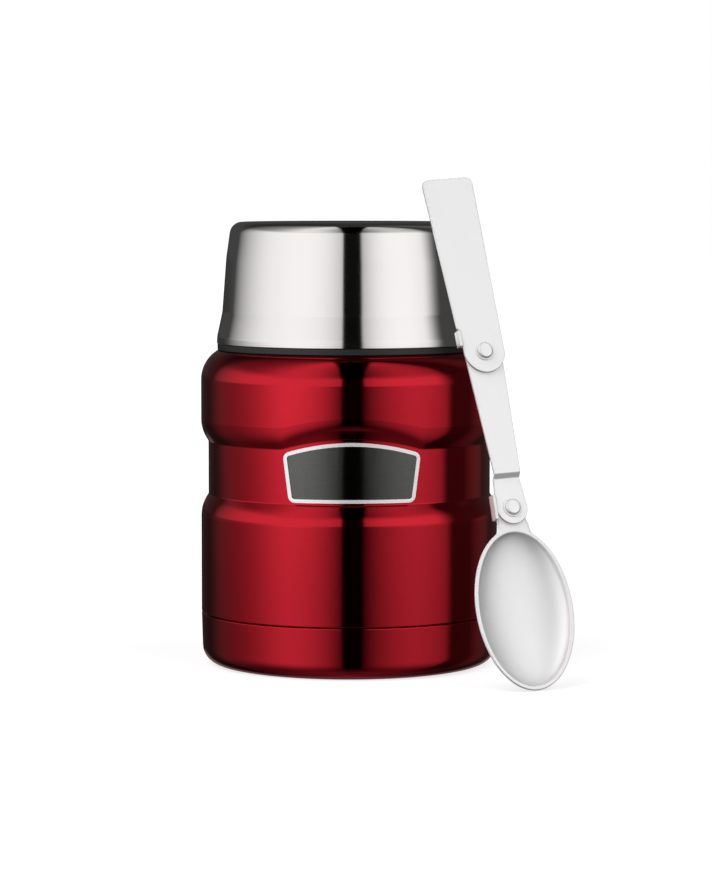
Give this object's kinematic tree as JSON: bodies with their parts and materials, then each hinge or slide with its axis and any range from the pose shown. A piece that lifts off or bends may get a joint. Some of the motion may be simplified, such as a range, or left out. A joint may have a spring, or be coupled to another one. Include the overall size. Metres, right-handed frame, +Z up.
{
  "type": "insulated food jar",
  "caption": "Vacuum food jar with a screw stopper, a steel cup lid that serves as a bowl, and a folding spoon leaning on it.",
  "frame": {"origin": "centre of the jar's base rim, on the surface that it stands on", "axes": "+Z up along the jar's axis, -Y out of the badge, +X to the right of someone who faces the badge"},
  "size_m": [0.1168, 0.1192, 0.1573],
  "materials": {
    "red_paint": "candy red metallic lacquer over stainless steel, clear coated",
    "satin_steel": "satin stainless steel",
    "polished_steel": "polished stainless steel",
    "electropolished_steel": "electropolished stainless steel",
    "black_plastic": "fine-textured black polypropylene",
    "grey_silicone": "soft matte silicone",
    "foam": "closed-cell insulating foam",
    "badge_metal": "bright plated rim",
    "badge_grey": "satin dark grey enamel, bare",
    "getter_metal": "sintered grey metal powder"
  },
  "bodies": {
    "jar": {"outer_shell": "red_paint", "base_shell": "red_paint", "outer_bottom": "satin_steel", "inner_liner": "electropolished_steel", "getter": "getter_metal", "vacuum_plug": "grey_silicone", "badge_frame": "badge_metal", "badge_field": "badge_grey"},
    "seal": {"stopper_gasket": "grey_silicone"},
    "stopper": {"stopper_cap": "black_plastic", "stopper_plug": "black_plastic"},
    "core": {"stopper_foam": "foam"},
    "cup": {"cup_shell": "satin_steel", "cup_liner": "black_plastic"},
    "lid_edge": {"cup_ring": "black_plastic"},
    "link": {"spoon_link": "polished_steel", "spoon_rivets": "polished_steel", "spoon_washers": "polished_steel"},
    "handle": {"spoon_handle": "polished_steel"},
    "bowl": {"spoon_bowl": "polished_steel"}
  },
  "joints": [
    {"name": "stopper_lift", "type": "slide", "parent": "jar", "child": "seal", "axis": [0, 0, 1], "range_m": [0, 0.0361]},
    {"name": "stopper_turn", "type": "hinge", "parent": "seal", "child": "stopper", "pos_m": [0, 0, 0.11], "axis": [0, 0, 1], "range_deg": [0, 1080]},
    {"name": "cup_turn", "type": "hinge", "parent": "stopper", "child": "core", "pos_m": [0, 0, 0.11], "axis": [0, 0, 1], "range_deg": [0, 1440]},
    {"name": "cup_lift", "type": "slide", "parent": "core", "child": "cup", "axis": [0, 0, 1], "range_m": [0, 0.0481]},
    {"name": "edge_lift", "type": "slide", "parent": "seal", "child": "lid_edge", "axis": [0, 0, 1], "range_m": [0, 0.0481]},
    {"name": "spoon_lift", "type": "slide", "parent": "lid_edge", "child": "link", "axis": [0, 0, 1], "range_m": [0, 0.12]},
    {"name": "handle_fold", "type": "hinge", "parent": "link", "child": "handle", "pos_m": [0.04036, -0.03553, 0.10195], "axis": [-0.3518, 0.8707, -0.3437], "range_deg": [0, 180]},
    {"name": "bowl_fold", "type": "hinge", "parent": "link", "child": "bowl", "pos_m": [0.04925, -0.05052, 0.05487], "axis": [0.3518, -0.8707, 0.3437], "range_deg": [0, 180]}
  ],
  "couplings": [
    {"joint": "stopper_lift", "follows": "stopper_turn", "m_per_rad": 0.0019099},
    {"joint": "cup_lift", "follows": "cup_turn", "m_per_rad": 0.0019099},
    {"joint": "edge_lift", "follows": "cup_turn", "m_per_rad": 0.0019099}
  ]
}
